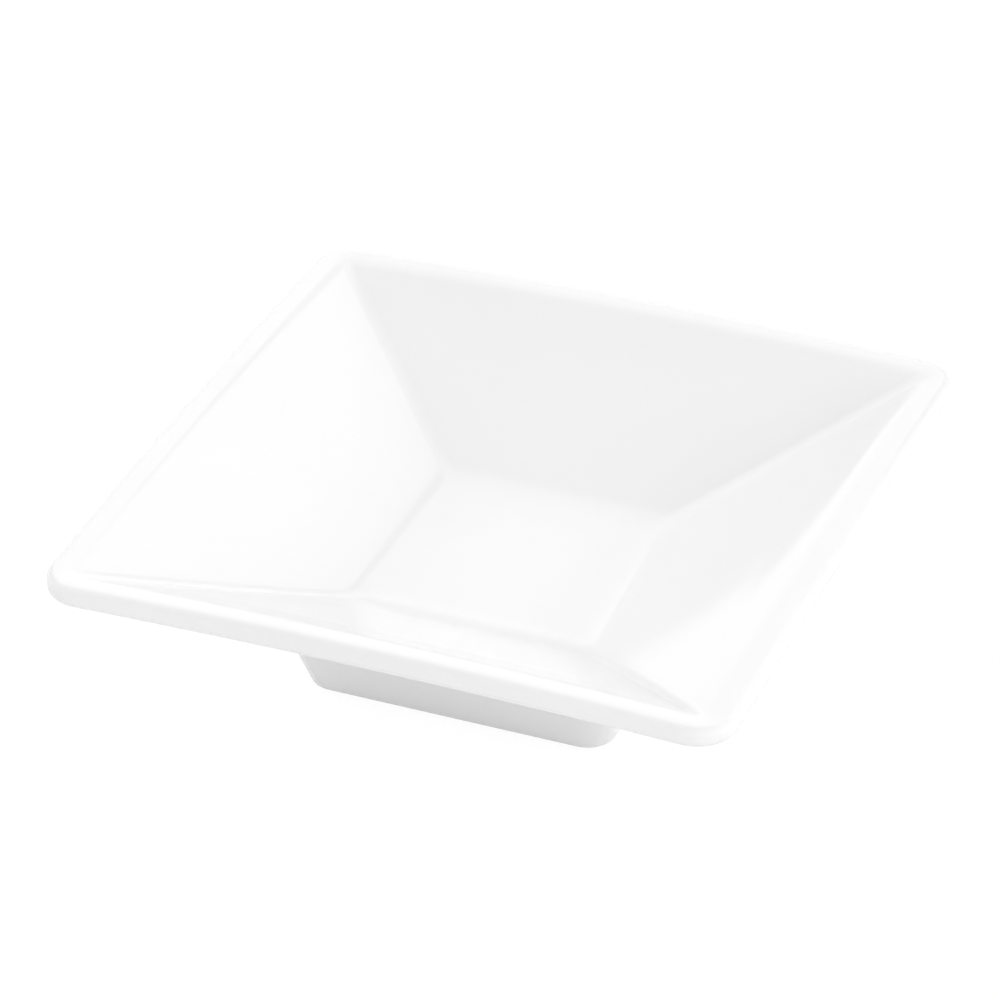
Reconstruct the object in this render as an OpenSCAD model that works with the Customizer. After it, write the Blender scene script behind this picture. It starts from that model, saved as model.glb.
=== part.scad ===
// Square soy sauce dish: a flared porcelain tray luted onto a square foot ring, under one coat of white glaze.
// Millimetres, +Z up. The origin is on the table under the middle of the dish, and the near side faces -Y.
// All sizes are those of the glazed dish. The clay lies one glaze thickness under its surface.

/* [Tray] */
// Side of the square tray, over the lip
tray_side = 90; // [80:1:110]
// Height of the rim above the table
tray_h = 26; // [24:0.2:32]
// Radius of the tray's four corners, seen from above
corner_r = 5.2; // [3:0.2:8]
// Width of the flat rim, from the lip's edge to the top of the sloping wall
rim_w = 2.8; // [2.4:0.1:4.4]
// Thickness of the sloping walls, square to their surface
wall_t = 3.7; // [3.4:0.1:5]
// Thickness of the floor
floor_t = 4; // [3.6:0.1:4.8]
// Rounding of the lip's upper edge
lip_top_r = 1.1; // [0.8:0.1:1.4]
// Rounding of the lip's lower edge
lip_low_r = 1.2; // [0.8:0.1:1.5]

/* [Well] */
// Side of the square floor, between the creases where the walls start
floor_side = 30; // [24:1:38]
// Depth of the well, from the rim to the floor
well_depth = 14.4; // [10:0.2:16]
// Radius of the hollow fillet between the floor and the walls
floor_fillet_r = 11.5; // [4:0.5:16]

/* [Foot] */
// Side of the foot ring where it meets the table
foot_side = 41; // [37:0.5:46]
// Outward lean of the foot's outer faces, in degrees from upright
foot_lean = 22; // [12:1:26]
// Inward lean of the foot's inner faces, in degrees from upright
recess_lean = 3; // [1:1:4]
// Radius of the foot's outer corners at the table, seen from above
foot_corner_r = 3.6; // [3.4:0.2:6]
// Thickness of the foot ring at the table
foot_wall = 2.5; // [2.2:0.1:2.7]
// Rounding of the foot's outer lower edge
foot_edge_r = 1; // [0.8:0.1:1.4]
// Rounding of the foot's inner lower edge
recess_edge_r = 0.9; // [0.6:0.1:1.2]

/* [Glaze] */
// Thickness of the fired glaze
glaze_t = 0.3; // [0.2:0.05:0.4]
// Height of the standing edge that is wiped bare before firing
bare_h = 0.4; // [0.3:0.1:0.8]

/* [Hidden] */
$fn = 96;
sides = 4;
overrun = 1;
// Straight steps in each small arc of an outline
arc_steps = 8;

tray_half = tray_side / 2;
floor_half = floor_side / 2;
floor_z = tray_h - well_depth;
base_z = floor_z - floor_t;
wall_run = tray_half - rim_w - floor_half;
wall_slope = atan2(well_depth, wall_run);
corner_at = tray_half - corner_r;
foot_corner_at = foot_side / 2 - foot_corner_r;
// Height where the foot's outer faces run into the sloping underside
foot_meets_z = underside_z(foot_side / 2, 0) / (1 - tan(foot_lean) * tan(wall_slope));
// The foot's walls are drawn up into the tray, which cuts them off at its underside
foot_top = max(foot_meets_z, base_z) + overrun;

function unit(v) = v / norm(v);

// Height of the tray's sloping underside, at a distance from the middle and a depth below the glazed surface
function underside_z(distance, depth) =
    let (drop = (wall_t - depth) / cos(wall_slope))
    floor_z - drop + (distance - floor_half) * tan(wall_slope);

// A direction turned by an angle
function turned(v, angle) = [v.x * cos(angle) - v.y * sin(angle), v.x * sin(angle) + v.y * cos(angle)];

// Points along the arc that rounds one corner of an outline drawn anticlockwise
function corner_arc(before, corner, after, radius) =
    let (
        to_before = unit(before - corner),
        to_after = unit(after - corner),
        half_angle = acos(to_before * to_after) / 2,
        centre = corner + unit(to_before + to_after) * radius / sin(half_angle),
        start = corner + to_before * radius / tan(half_angle) - centre,
        turn = 180 - 2 * half_angle
    )
    [for (step = [0 : arc_steps]) centre + turned(start, turn * step / arc_steps)];

// An outline drawn anticlockwise, each corner rounded by its own radius or, where that is zero, left sharp
function rounded(points, radii) =
    let (n = len(points))
    [for (i = [0 : n - 1])
        each radii[i] > 0
            ? corner_arc(points[(i + n - 1) % n], points[i], points[(i + 1) % n], radii[i])
            : [points[i]]];

// An outline in the XZ plane, drawn out along Y
module along_y(length) {
    rotate([90, 0, 0]) linear_extrude(length, center = true) children();
}

// An outline drawn out along both sides of the square, mitred where the two cross
module crossed(length) {
    intersection() {
        along_y(length) children();
        rotate(90) along_y(length) children();
    }
}

// An outline carried round a square with round corners. It is measured outwards from the corners' centres
module round_square(centre_at) {
    for (side = [0 : sides - 1])
        rotate(side * 360 / sides) {
            along_y(2 * centre_at) translate([centre_at, 0]) children();
            translate([centre_at, centre_at]) rotate_extrude(angle = 360 / sides) children();
        }
}

// The hollow of the dish: four sloping walls and a flat floor, with fillets between them
module well(depth) {
    low = [floor_half + depth * tan(wall_slope / 2), floor_z - depth];
    top_z = tray_h + overrun;
    top = [low.x + (top_z - low.y) / tan(wall_slope), top_z];
    fillet_r = floor_fillet_r + depth;
    crossed(tray_side) polygon(rounded(
        [[-low.x, low.y], low, top, [-top.x, top.y]],
        [fillet_r, fillet_r, 0, 0]
    ));
}

// The tray's outside, with its well still full, as far out as the centres of the round corners
module tray_middle(depth) {
    under_z = base_z + depth;
    knuckle = floor_half + (under_z - underside_z(floor_half, depth)) / tan(wall_slope);
    edge_z = underside_z(corner_at, depth);
    top_z = tray_h - depth;
    crossed(2 * corner_at) polygon([
        [-knuckle, under_z],
        [knuckle, under_z],
        [corner_at, edge_z],
        [corner_at, top_z],
        [-corner_at, top_z],
        [-corner_at, edge_z]
    ]);
}

// The outer band of the tray, with its rounded lip
module lip(depth) {
    reach = corner_r - depth;
    top_z = tray_h - depth;
    round_square(corner_at) polygon(rounded(
        [
            [0, underside_z(corner_at, depth)],
            [reach, underside_z(corner_at + reach, depth)],
            [reach, top_z],
            [0, top_z]
        ],
        [0, lip_low_r - depth, lip_top_r - depth, 0]
    ));
}

module full_tray(depth) {
    tray_middle(depth);
    lip(depth);
}

// The foot's four walls. Both faces are drawn in by the depth, but the bare lower edge stays on the table
module foot_walls(depth) {
    outer = foot_corner_r - depth / cos(foot_lean);
    inner = foot_corner_r - foot_wall + depth / cos(recess_lean);
    round_square(foot_corner_at) polygon(rounded(
        [
            [inner, 0],
            [outer, 0],
            [outer + foot_top * tan(foot_lean), foot_top],
            [inner - foot_top * tan(recess_lean), foot_top]
        ],
        [recess_edge_r - depth, foot_edge_r - depth, 0, 0]
    ));
}

// The tray of fired clay, without its glaze
module dish_body() {
    color("ivory") difference() {
        full_tray(glaze_t);
        well(glaze_t);
    }
}

// The ring that the tray stands on, fitted to the tray's underside
module foot_ring() {
    color("linen") difference() {
        foot_walls(glaze_t);
        full_tray(glaze_t);
    }
}

// The fired glaze, all over the clay but for the standing edge
module glaze_coat() {
    color("white") difference() {
        union() {
            full_tray(0);
            foot_walls(0);
        }
        well(0);
        difference() {
            union() {
                full_tray(glaze_t);
                foot_walls(glaze_t);
            }
            well(glaze_t);
        }
        translate([-tray_half, -tray_half, -overrun]) cube([tray_side, tray_side, bare_h + overrun]);
    }
}

dish_body();
foot_ring();
glaze_coat();
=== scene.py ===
"""A square soy sauce dish of white glazed porcelain: a clay tray and foot ring under one coat of glaze."""

import math

import bmesh
import bpy
from mathutils import Matrix, Vector, noise


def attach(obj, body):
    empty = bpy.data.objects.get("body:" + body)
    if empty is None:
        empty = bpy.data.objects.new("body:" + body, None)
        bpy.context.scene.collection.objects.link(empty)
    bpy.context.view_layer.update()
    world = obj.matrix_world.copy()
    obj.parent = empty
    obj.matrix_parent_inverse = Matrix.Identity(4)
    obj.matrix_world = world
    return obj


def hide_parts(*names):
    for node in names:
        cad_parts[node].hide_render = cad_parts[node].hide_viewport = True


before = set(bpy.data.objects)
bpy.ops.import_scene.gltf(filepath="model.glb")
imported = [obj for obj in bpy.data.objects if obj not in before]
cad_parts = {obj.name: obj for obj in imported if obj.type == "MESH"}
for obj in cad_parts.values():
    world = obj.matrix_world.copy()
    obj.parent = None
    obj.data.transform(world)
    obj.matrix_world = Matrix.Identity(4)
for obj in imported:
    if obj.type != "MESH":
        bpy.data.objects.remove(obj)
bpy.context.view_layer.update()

MM = 0.001

# Sizes of the glazed dish in millimetres, the same as the CAD model's
TRAY_HALF = 45.0
TRAY_H = 26.0
CORNER_R = 5.2
RIM_W = 2.8
WALL_T = 3.7
FLOOR_T = 4.0
LIP_TOP_R = 1.1
LIP_LOW_R = 1.2
FLOOR_HALF = 15.0
WELL_DEPTH = 14.4
FLOOR_FILLET_R = 11.5
FOOT_HALF = 20.5
FOOT_LEAN = math.radians(22)
RECESS_LEAN = math.radians(3)
FOOT_CORNER_R = 3.6
FOOT_WALL = 2.5
FOOT_EDGE_R = 1.0
RECESS_EDGE_R = 0.9
GLAZE_T = 0.3
BARE_H = 0.4

# Softness that the pressed clay and the running glaze give to the CAD model's sharp hips and creases
HIP_R = 1.5
RIM_ROLL_R = 6.0
FOOT_JOINT_R = 1.5
RECESS_JOINT_R = 0.6
KNUCKLE_R = 1.5

# The walls are a little hollow: their section bends in halfway up, and a long arc rounds the bend
WALL_HOLLOW = 0.7
WALL_HOLLOW_R = 180.0

# The rim's corners droop in the kiln, and every surface wanders a little
CORNER_DROOP = 1.1
WANDER = 0.08
WANDER_LENGTH = 22.0

# Fineness of the mesh
MIDDLE_HALF = 2.5
STRAIGHT_STEP = 2.0
ARC_STEP = math.radians(8)
CORNER_SEGMENTS = 12
SIDE_CUTS = 20
SIDES = 4

# Refraction of the glaze and of the clay's own surface
PORCELAIN_IOR = 1.5

# The paper: half its side in metres, the share of light that it throws back at the dish, and, where it is
# looked at, the share that shows the dish's shadow and the glow that makes the rest white
PAPER_HALF = 2.0
PAPER_BOUNCE = 0.9
PAPER_SHADOW = 0.1
PAPER_GLOW = 0.93

# The light from all round, and the lamps' distance and usual side in metres
AMBIENT = 0.3
LAMP_DISTANCE = 1.0
LAMP_SIDE = 0.5

# The camera, fitted to the photograph, in degrees and millimetres
CAMERA_AZIMUTH = 22.769
CAMERA_ELEVATION = 32.667
CAMERA_ROLL = -0.783
CAMERA_DISTANCE = 623.302
CAMERA_AIM = (1.803, -8.285, TRAY_H)
CAMERA_LENS = 180
CAMERA_SENSOR = 36

FLOOR_Z = TRAY_H - WELL_DEPTH
BASE_Z = FLOOR_Z - FLOOR_T
RIM_HALF = TRAY_HALF - RIM_W
WALL_SLOPE = math.atan2(WELL_DEPTH, RIM_HALF - FLOOR_HALF)


def underside_z(distance):
    """Height of the tray's sloping underside at a distance from the middle."""
    return FLOOR_Z - WALL_T / math.cos(WALL_SLOPE) + (distance - FLOOR_HALF) * math.tan(WALL_SLOPE)


WALL_MIDDLE = (FLOOR_HALF + RIM_HALF) / 2
FOOT_MEETS_Z = underside_z(FOOT_HALF) / (1 - math.tan(FOOT_LEAN) * math.tan(WALL_SLOPE))
FOOT_MEETS = FOOT_HALF + FOOT_MEETS_Z * math.tan(FOOT_LEAN)
FOOT_CORNER_AT = FOOT_HALF - FOOT_CORNER_R
RECESS_HALF = FOOT_HALF - FOOT_WALL
RECESS_MEETS_Z = underside_z(RECESS_HALF) / (1 + math.tan(RECESS_LEAN) * math.tan(WALL_SLOPE))
RECESS_MEETS = RECESS_HALF - RECESS_MEETS_Z * math.tan(RECESS_LEAN)
KNUCKLE = FLOOR_HALF + (BASE_Z - underside_z(FLOOR_HALF)) / math.tan(WALL_SLOPE)

# Section of the dish: each corner is a distance from the middle, a height, the radius of the square's
# corners seen from above, and the radius that rounds the section there
WELL_AND_LIP = [
    (MIDDLE_HALF, FLOOR_Z, MIDDLE_HALF / 2, 0),
    (FLOOR_HALF, FLOOR_Z, HIP_R, FLOOR_FILLET_R),
    (WALL_MIDDLE, FLOOR_Z + WELL_DEPTH / 2 - WALL_HOLLOW, HIP_R, WALL_HOLLOW_R),
    (RIM_HALF, TRAY_H, HIP_R, RIM_ROLL_R),
    (TRAY_HALF, TRAY_H, CORNER_R, LIP_TOP_R),
    (TRAY_HALF, underside_z(TRAY_HALF), CORNER_R, LIP_LOW_R),
]
FOOT = [
    (FOOT_MEETS, FOOT_MEETS_Z, FOOT_MEETS - FOOT_CORNER_AT, FOOT_JOINT_R),
    (FOOT_HALF, 0, FOOT_CORNER_R, FOOT_EDGE_R),
    (RECESS_HALF, 0, RECESS_HALF - FOOT_CORNER_AT, RECESS_EDGE_R),
    (RECESS_MEETS, RECESS_MEETS_Z, RECESS_MEETS - FOOT_CORNER_AT, RECESS_JOINT_R),
]
TRAY_BASE = [
    (KNUCKLE, BASE_Z, HIP_R, KNUCKLE_R),
    (MIDDLE_HALF, BASE_Z, MIDDLE_HALF / 2, 0),
]

# The clay tray runs straight on over the foot, with the corners that the glaze has on both sides of it
OVER_FOOT = [
    (FOOT_MEETS, FOOT_MEETS_Z, FOOT_MEETS - FOOT_CORNER_AT, 0),
    (RECESS_MEETS, RECESS_MEETS_Z, RECESS_MEETS - FOOT_CORNER_AT, 0),
]


def arc(before, corner, after, radius):
    """Points along the arc that rounds a section's corner, or the corner alone where it has no radius.

    The radius of the square's corners blends along the arc.
    """
    if not radius:
        return [Vector(corner[:3])]
    place = Vector(corner[:2])
    to_before = Vector(before[:2]) - place
    to_after = Vector(after[:2]) - place
    half_angle = to_before.angle(to_after) / 2
    run = radius / math.tan(half_angle)
    to_centre = (to_before.normalized() + to_after.normalized()).normalized()
    centre = place + to_centre * radius / math.sin(half_angle)
    start = place + to_before.normalized() * run - centre
    turn = start.angle_signed(place + to_after.normalized() * run - centre)
    first_r = corner[2] + (before[2] - corner[2]) * run / to_before.length
    last_r = corner[2] + (after[2] - corner[2]) * run / to_after.length
    steps = math.ceil(abs(turn) / ARC_STEP)
    points = []
    for step in range(steps + 1):
        share = step / steps
        at = centre + Matrix.Rotation(-turn * share, 2) @ start
        corner_r = (1 - share) ** 2 * first_r + 2 * share * (1 - share) * corner[2] + share ** 2 * last_r
        points.append(Vector((*at, corner_r)))
    return points


def section(corners):
    """Points along a section, its corners rounded and its straight stretches cut into even steps."""
    stretches = [[Vector(corners[0][:3])]]
    for before, corner, after in zip(corners, corners[1:], corners[2:]):
        stretches.append(arc(before, corner, after, corner[3]))
    stretches.append([Vector(corners[-1][:3])])
    points = list(stretches[0])
    for stretch in stretches[1:]:
        start = points[-1]
        steps = math.ceil((stretch[0] - start).xy.length / STRAIGHT_STEP)
        for step in range(1, steps):
            points.append(start.lerp(stretch[0], step / steps))
        points.extend(stretch)
    return points


def set_in(points, depth):
    """The same section, drawn in by a depth."""
    moved = []
    for i, point in enumerate(points):
        along = points[min(i + 1, len(points) - 1)] - points[max(i - 1, 0)]
        inward = Vector((along.y, -along.x)).normalized()
        moved.append(Vector((point.x + inward.x * depth, point.y + inward.y * depth, point.z)))
    return moved


def first_ring(mesh, half, height, corner_r):
    """Adds a level square face with round corners, and gives back its edges."""
    level = Matrix.Translation((0, 0, height))
    square = bmesh.ops.create_grid(mesh, x_segments=1, y_segments=1, size=half, matrix=level)["verts"]
    bmesh.ops.bevel(
        mesh,
        geom=square,
        offset=corner_r,
        segments=CORNER_SEGMENTS,
        profile=0.5,
        affect="VERTICES",
        material=-1,
    )
    sides = sorted(mesh.edges, key=lambda edge: edge.calc_length())[-SIDES:]
    bmesh.ops.subdivide_edges(mesh, edges=sides, cuts=SIDE_CUTS)
    return mesh.edges[:]


def stretched(place, old, new):
    """Moves a coordinate from the old ring to the new one. Sides and corners stretch by themselves."""
    straight = max(old.z - old.x, min(old.x - old.z, place))
    return straight * (new.x - new.z) / (old.x - old.z) + (place - straight) * new.z / old.z


def lofted(mesh, points):
    """A closed skin that follows the section, made by drawing one ring out of the last."""
    edges = first_ring(mesh, *points[0])
    for old, new in zip(points, points[1:]):
        drawn = bmesh.ops.extrude_edge_only(mesh, edges=edges)["geom"]
        edges = [part for part in drawn if isinstance(part, bmesh.types.BMEdge) and part.is_boundary]
        for vert in drawn:
            if isinstance(vert, bmesh.types.BMVert):
                vert.co = (stretched(vert.co.x, old, new), stretched(vert.co.y, old, new), new.y)
    bmesh.ops.holes_fill(mesh, edges=edges)
    bmesh.ops.recalc_face_normals(mesh, faces=mesh.faces)


def settle(mesh):
    """Lets the rim's corners droop, and draws every surface in by a slowly wandering amount."""
    mesh.normal_update()
    moves = []
    for vert in mesh.verts:
        near, far = sorted((abs(vert.co.x), abs(vert.co.y)))
        outward = max(0, (far - FLOOR_HALF) / (TRAY_HALF - FLOOR_HALF))
        above = max(0, min(1, (vert.co.z - BASE_Z) / (TRAY_H - BASE_Z)))
        droop = CORNER_DROOP * (near / TRAY_HALF) ** 2 * outward * above
        wander = WANDER * (1 + noise.noise(vert.co / WANDER_LENGTH)) / 2
        moves.append(Vector((0, 0, -droop)) - vert.normal * wander)
    for vert, move in zip(mesh.verts, moves):
        vert.co += move


def piece(name, mesh, slot, material, *nodes):
    """Makes a finished piece, in metres, that rides on the dish and stands for CAD nodes."""
    bmesh.ops.scale(mesh, vec=(MM, MM, MM), verts=mesh.verts)
    for face in mesh.faces:
        face.smooth = True
    data = bpy.data.meshes.new(name)
    mesh.to_mesh(data)
    mesh.free()
    data.materials.append(material)
    made = bpy.data.objects.new(name, data)
    bpy.context.collection.objects.link(made)
    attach(made, "root")
    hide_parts(*nodes)
    return made


def linear(code):
    """An sRGB hex colour as a linear colour."""
    shares = [int(code[i:i + 2], 16) / 255 for i in (1, 3, 5)]
    return (*[s / 12.92 if s <= 0.04045 else ((s + 0.055) / 1.055) ** 2.4 for s in shares], 1)


def add(tree, kind, inputs, **settings):
    """Adds a node with its settings. Each input is a value, or another node's output to link."""
    made = tree.nodes.new(kind)
    for name, value in settings.items():
        setattr(made, name, value)
    for socket, value in inputs.items():
        if isinstance(value, bpy.types.NodeSocket):
            tree.links.new(value, made.inputs[socket])
        else:
            made.inputs[socket].default_value = value
    return made


def new_material(name):
    """An empty node material, and its node tree."""
    made = bpy.data.materials.new(name)
    made.use_nodes = True
    made.node_tree.nodes.clear()
    return made, made.node_tree


def glazed_porcelain():
    """Clear glaze fired over white porcelain: a wet, even gloss that ripples slowly, over a milky white."""
    patch_size = 25 * MM
    fine_size = 3 * MM
    ripple_length = 9 * MM
    ripple_height = 0.03 * MM
    made, tree = new_material("glazed_porcelain")
    place = add(tree, "ShaderNodeTexCoord", {}).outputs["Object"]
    # The glaze pools a little thicker and whiter in patches
    patches = add(tree, "ShaderNodeTexNoise", {"Vector": place, "Scale": 1 / patch_size, "Detail": 2})
    colour = add(tree, "ShaderNodeMix", {
        "Factor": patches.outputs["Fac"], "A": linear("#EFEFEF"), "B": linear("#F3F3F3"),
    }, data_type="RGBA")
    # Fine unevenness of the fired surface changes how sharply it mirrors
    fine = add(tree, "ShaderNodeTexNoise", {"Vector": place, "Scale": 1 / fine_size, "Detail": 3})
    gloss = add(tree, "ShaderNodeMapRange", {"Value": fine.outputs["Fac"], "To Min": 0.05, "To Max": 0.09})
    # Slow ripples bend the mirror images
    ripple = add(tree, "ShaderNodeTexNoise", {"Vector": place, "Scale": 1 / ripple_length, "Detail": 1})
    bump = add(tree, "ShaderNodeBump", {
        "Height": ripple.outputs["Fac"], "Strength": 0.5, "Distance": ripple_height,
    })
    shader = add(tree, "ShaderNodeBsdfPrincipled", {
        "Base Color": colour.outputs["Result"],
        "Roughness": gloss.outputs["Result"],
        "Normal": bump.outputs["Normal"],
        "IOR": PORCELAIN_IOR,
    })
    add(tree, "ShaderNodeOutputMaterial", {"Surface": shader.outputs["BSDF"]})
    return made


def fired_clay():
    """Bare porcelain clay, wiped and fired: matt, faintly warm and finely grained."""
    grain_size = 0.6 * MM
    grain_height = 0.05 * MM
    made, tree = new_material("fired_clay")
    place = add(tree, "ShaderNodeTexCoord", {}).outputs["Object"]
    grain = add(tree, "ShaderNodeTexNoise", {"Vector": place, "Scale": 1 / grain_size, "Detail": 4})
    colour = add(tree, "ShaderNodeMix", {
        "Factor": grain.outputs["Fac"], "A": linear("#E4E0D8"), "B": linear("#F0ECE4"),
    }, data_type="RGBA")
    bump = add(tree, "ShaderNodeBump", {
        "Height": grain.outputs["Fac"], "Strength": 0.4, "Distance": grain_height,
    })
    shader = add(tree, "ShaderNodeBsdfPrincipled", {
        "Base Color": colour.outputs["Result"],
        "Roughness": 0.75,
        "Normal": bump.outputs["Normal"],
        "IOR": PORCELAIN_IOR,
    })
    add(tree, "ShaderNodeOutputMaterial", {"Surface": shader.outputs["BSDF"]})
    return made


def either(tree, first, second):
    """One where either of two outputs is one."""
    return add(tree, "ShaderNodeMath", {0: first, 1: second}, operation="MAXIMUM").outputs[0]


def seen_directly(tree):
    """One where the camera, a mirror image or a clear piece looks at a surface, and zero for other light."""
    path = add(tree, "ShaderNodeLightPath", {}).outputs
    seen = either(tree, path["Is Camera Ray"], path["Is Glossy Ray"])
    return either(tree, seen, path["Is Transmission Ray"])


def studio_paper():
    """White background paper. Looked at, it glows enough to read as white and keeps the dish's shadow."""
    made, tree = new_material("studio_paper")
    seen = seen_directly(tree)
    colour = add(tree, "ShaderNodeMix", {
        "Factor": seen, "A": (*[PAPER_BOUNCE] * 3, 1), "B": (*[PAPER_SHADOW] * 3, 1),
    }, data_type="RGBA")
    shade = add(tree, "ShaderNodeBsdfDiffuse", {"Color": colour.outputs["Result"]})
    level = add(tree, "ShaderNodeMath", {0: seen, 1: PAPER_GLOW}, operation="MULTIPLY")
    glow = add(tree, "ShaderNodeEmission", {"Strength": level.outputs[0]})
    both = add(tree, "ShaderNodeAddShader", {0: shade.outputs[0], 1: glow.outputs[0]})
    add(tree, "ShaderNodeOutputMaterial", {"Surface": both.outputs[0]})
    return made


def towards(azimuth, elevation):
    """The direction from the dish to a place round it. Azimuth 0 is the near side, and 90 the right."""
    turn = math.radians(azimuth)
    rise = math.radians(elevation)
    return Vector((math.sin(turn) * math.cos(rise), -math.cos(turn) * math.cos(rise), math.sin(rise)))


def facing(azimuth, elevation):
    """The turn of a lamp or camera at such a place that looks back at the dish."""
    return (-towards(azimuth, elevation)).to_track_quat("-Z", "Y")


def softbox(name, azimuth, elevation, power, width=LAMP_SIDE, height=LAMP_SIDE, mirrored=False):
    """A soft lamp that faces the dish, in watts. The glaze mirrors it only where that is asked for."""
    data = bpy.data.lights.new(name, "AREA")
    data.shape = "RECTANGLE"
    data.size = width
    data.size_y = height
    data.energy = power
    lamp = bpy.data.objects.new(name, data)
    lamp.location = towards(azimuth, elevation) * LAMP_DISTANCE
    lamp.rotation_euler = facing(azimuth, elevation).to_euler()
    lamp.visible_glossy = mirrored
    bpy.context.collection.objects.link(lamp)


# The pieces
glaze_finish = glazed_porcelain()
clay_finish = fired_clay()

tray = bmesh.new()
lofted(tray, set_in(section(WELL_AND_LIP + OVER_FOOT + TRAY_BASE), GLAZE_T))
settle(tray)
piece("clay_tray", tray, "fired_clay", clay_finish, "dish_body")

coat = bmesh.new()
lofted(coat, section(WELL_AND_LIP + FOOT + TRAY_BASE))
settle(coat)
bmesh.ops.bisect_plane(
    coat,
    geom=coat.verts[:] + coat.edges[:] + coat.faces[:],
    plane_co=(0, 0, BARE_H),
    plane_no=(0, 0, 1),
    clear_inner=True,
)
glaze = piece("glaze", coat, "white_glaze", glaze_finish, "glaze_coat")
thickness = glaze.modifiers.new("thickness", "SOLIDIFY")
thickness.thickness = GLAZE_T * MM
thickness.offset = -1

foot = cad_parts["foot_ring"]
foot.data.materials.clear()
foot.data.materials.append(clay_finish)

# The floor
paper = bmesh.new()
bmesh.ops.create_grid(paper, x_segments=1, y_segments=1, size=PAPER_HALF)
paper_data = bpy.data.meshes.new("paper")
paper.to_mesh(paper_data)
paper.free()
paper_data.materials.append(studio_paper())
floor = bpy.data.objects.new("paper", paper_data)
bpy.context.collection.objects.link(floor)

# The light from all round
world = bpy.data.worlds.new("studio")
bpy.context.scene.world = world
world.use_nodes = True
studio = world.node_tree
studio.nodes.clear()
level = add(studio, "ShaderNodeMapRange", {"Value": seen_directly(studio), "To Min": AMBIENT})
sky = add(studio, "ShaderNodeBackground", {"Strength": level.outputs["Result"]})
add(studio, "ShaderNodeOutputWorld", {"Surface": sky.outputs[0]})

# Soft lamps on all sides, two of them low for the lip's face and the foot
softbox("overhead", 0, 88, power=0.38)
softbox("front", 0, 50, power=3.5)
softbox("front_right", 40, 20, power=1.6)
softbox("right", 100, 25, power=2.8, height=0.6)
softbox("back_right", 140, 20, power=2.0, width=0.6, height=0.4)
softbox("left", 250, 30, power=3.5)
softbox("low_left", 320, 15, power=0.55, height=0.4)
softbox("low_right", 95, 9, power=0.8, width=0.6, height=0.25)

# Two panels behind the dish that the glaze mirrors. The gap between them draws the floor's left edge
softbox("left_panel", 211, 34, power=2.3, width=0.75, height=1.25, mirrored=True)
softbox("right_panel", 158, 43, power=0.38, width=0.45, height=0.34, mirrored=True)

# The camera
camera = bpy.data.objects.new("camera", bpy.data.cameras.new("camera"))
camera.data.lens = CAMERA_LENS
camera.data.sensor_width = CAMERA_SENSOR
camera.location = (Vector(CAMERA_AIM) + towards(CAMERA_AZIMUTH, CAMERA_ELEVATION) * CAMERA_DISTANCE) * MM
tilt = Matrix.Rotation(math.radians(CAMERA_ROLL), 4, "Z")
look = facing(CAMERA_AZIMUTH, CAMERA_ELEVATION).to_matrix().to_4x4()
camera.rotation_euler = (look @ tilt).to_euler()
bpy.context.collection.objects.link(camera)
bpy.context.scene.camera = camera
bpy.context.scene.view_settings.view_transform = "Standard"
